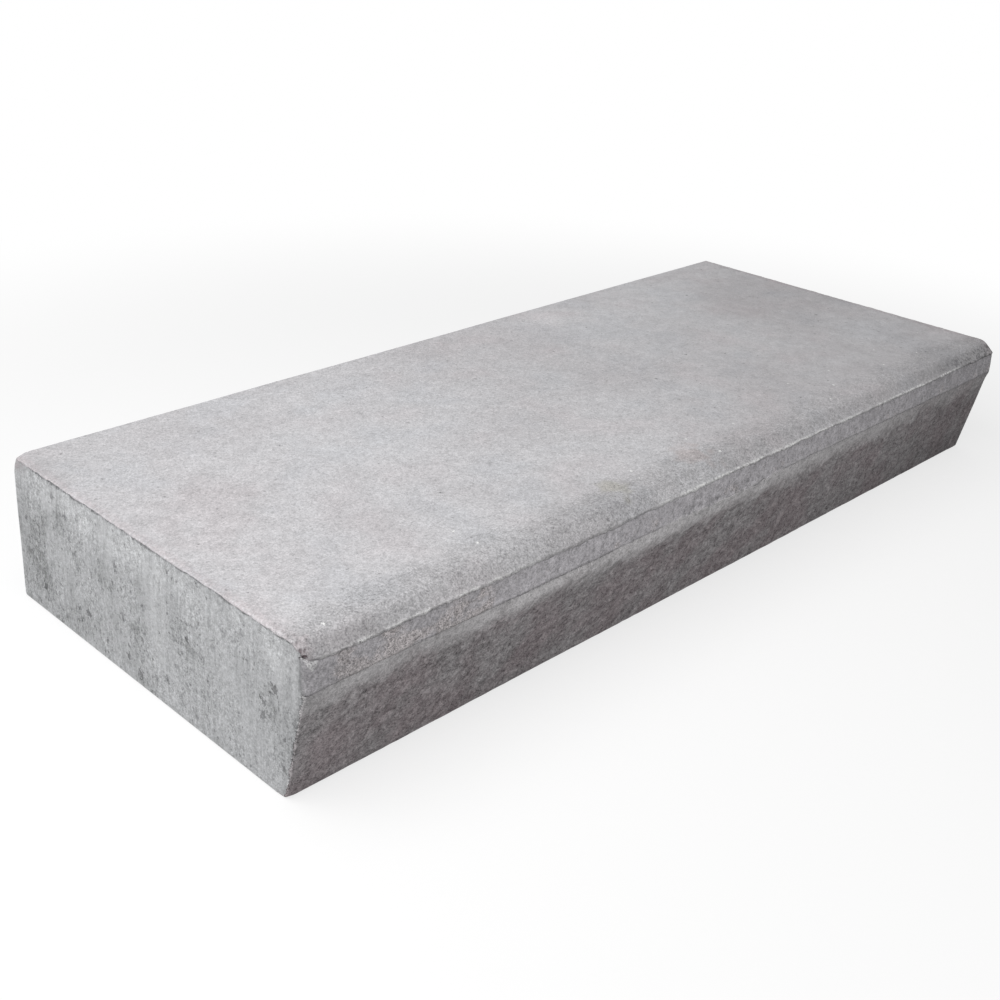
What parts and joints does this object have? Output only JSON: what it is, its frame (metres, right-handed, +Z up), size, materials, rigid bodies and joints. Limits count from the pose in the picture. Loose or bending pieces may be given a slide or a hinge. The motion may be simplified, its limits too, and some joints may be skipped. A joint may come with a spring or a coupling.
{
  "type": "concrete step block",
  "caption": "Solid precast concrete step block with a soft chamfered nosing, an upright fascia band and a raked-back riser; lies on its flat bed as one outdoor step.",
  "frame": {"origin": "centre of the block's bounding box, on the plane of the bed", "axes": "+X along the length, +Y from the nosing to the back, +Z up from the bed to the tread"},
  "size_m": [1, 0.42, 0.14],
  "materials": {
    "concrete": "matt grey pressed concrete, fine sandy grain on the tread, streaked and pitted on the sides"
  },
  "bodies": {
    "root": {"step_block": "concrete"}
  },
  "joints": []
}
